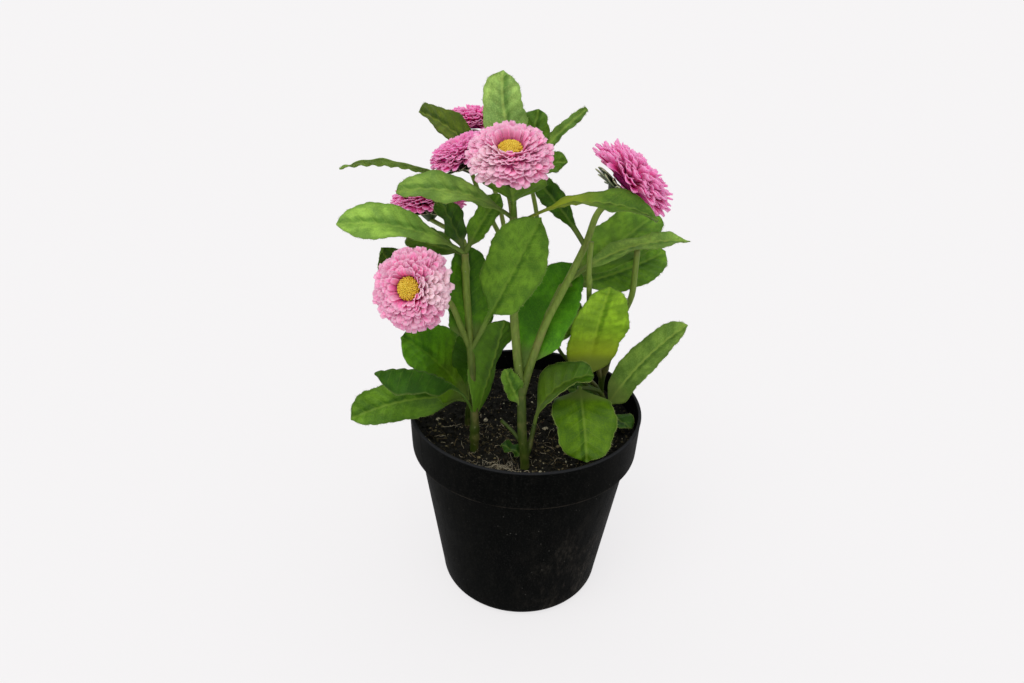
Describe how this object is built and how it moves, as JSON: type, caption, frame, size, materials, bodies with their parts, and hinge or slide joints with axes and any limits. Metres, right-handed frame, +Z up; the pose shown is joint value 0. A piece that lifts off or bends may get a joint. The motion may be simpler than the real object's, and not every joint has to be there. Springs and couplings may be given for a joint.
{
  "type": "potted daisy",
  "caption": "Flowering daisy plant with layered pink pompon blooms and spoon-shaped leaves, growing in soil in a round tapered plastic nursery pot.",
  "frame": {"origin": "centre of the pot's flat underside, where it rests", "axes": "+Z up along the pot's axis, -Y towards the side that the picture shows, +X to that view's right"},
  "size_m": [0.1606, 0.1284, 0.2704],
  "materials": {
    "black_plastic": "matte moulded black plastic, faintly scuffed",
    "dark_soil": "rough dark peat compost with pale fibres",
    "leaf_green": "satin green leaf with a pale midrib",
    "petal_pink": "soft pink petals, magenta at the root and pale at the tip",
    "disc_yellow": "granular ochre-yellow florets"
  },
  "bodies": {
    "root": {"pot": "black_plastic", "soil": "dark_soil", "stem_left": "leaf_green", "stem_centre": "leaf_green", "stem_back": "leaf_green", "stem_right": "leaf_green", "shoot_right": "leaf_green", "shoot_left": "leaf_green", "bloom_top": "petal_pink", "bloom_left": "petal_pink", "bloom_right": "petal_pink", "bloom_back": "petal_pink", "bloom_middle": "petal_pink", "bloom_low": "petal_pink", "disc_top": "disc_yellow", "disc_left": "disc_yellow", "disc_right": "disc_yellow", "disc_back": "disc_yellow", "disc_middle": "disc_yellow", "disc_low": "disc_yellow"}
  },
  "joints": []
}
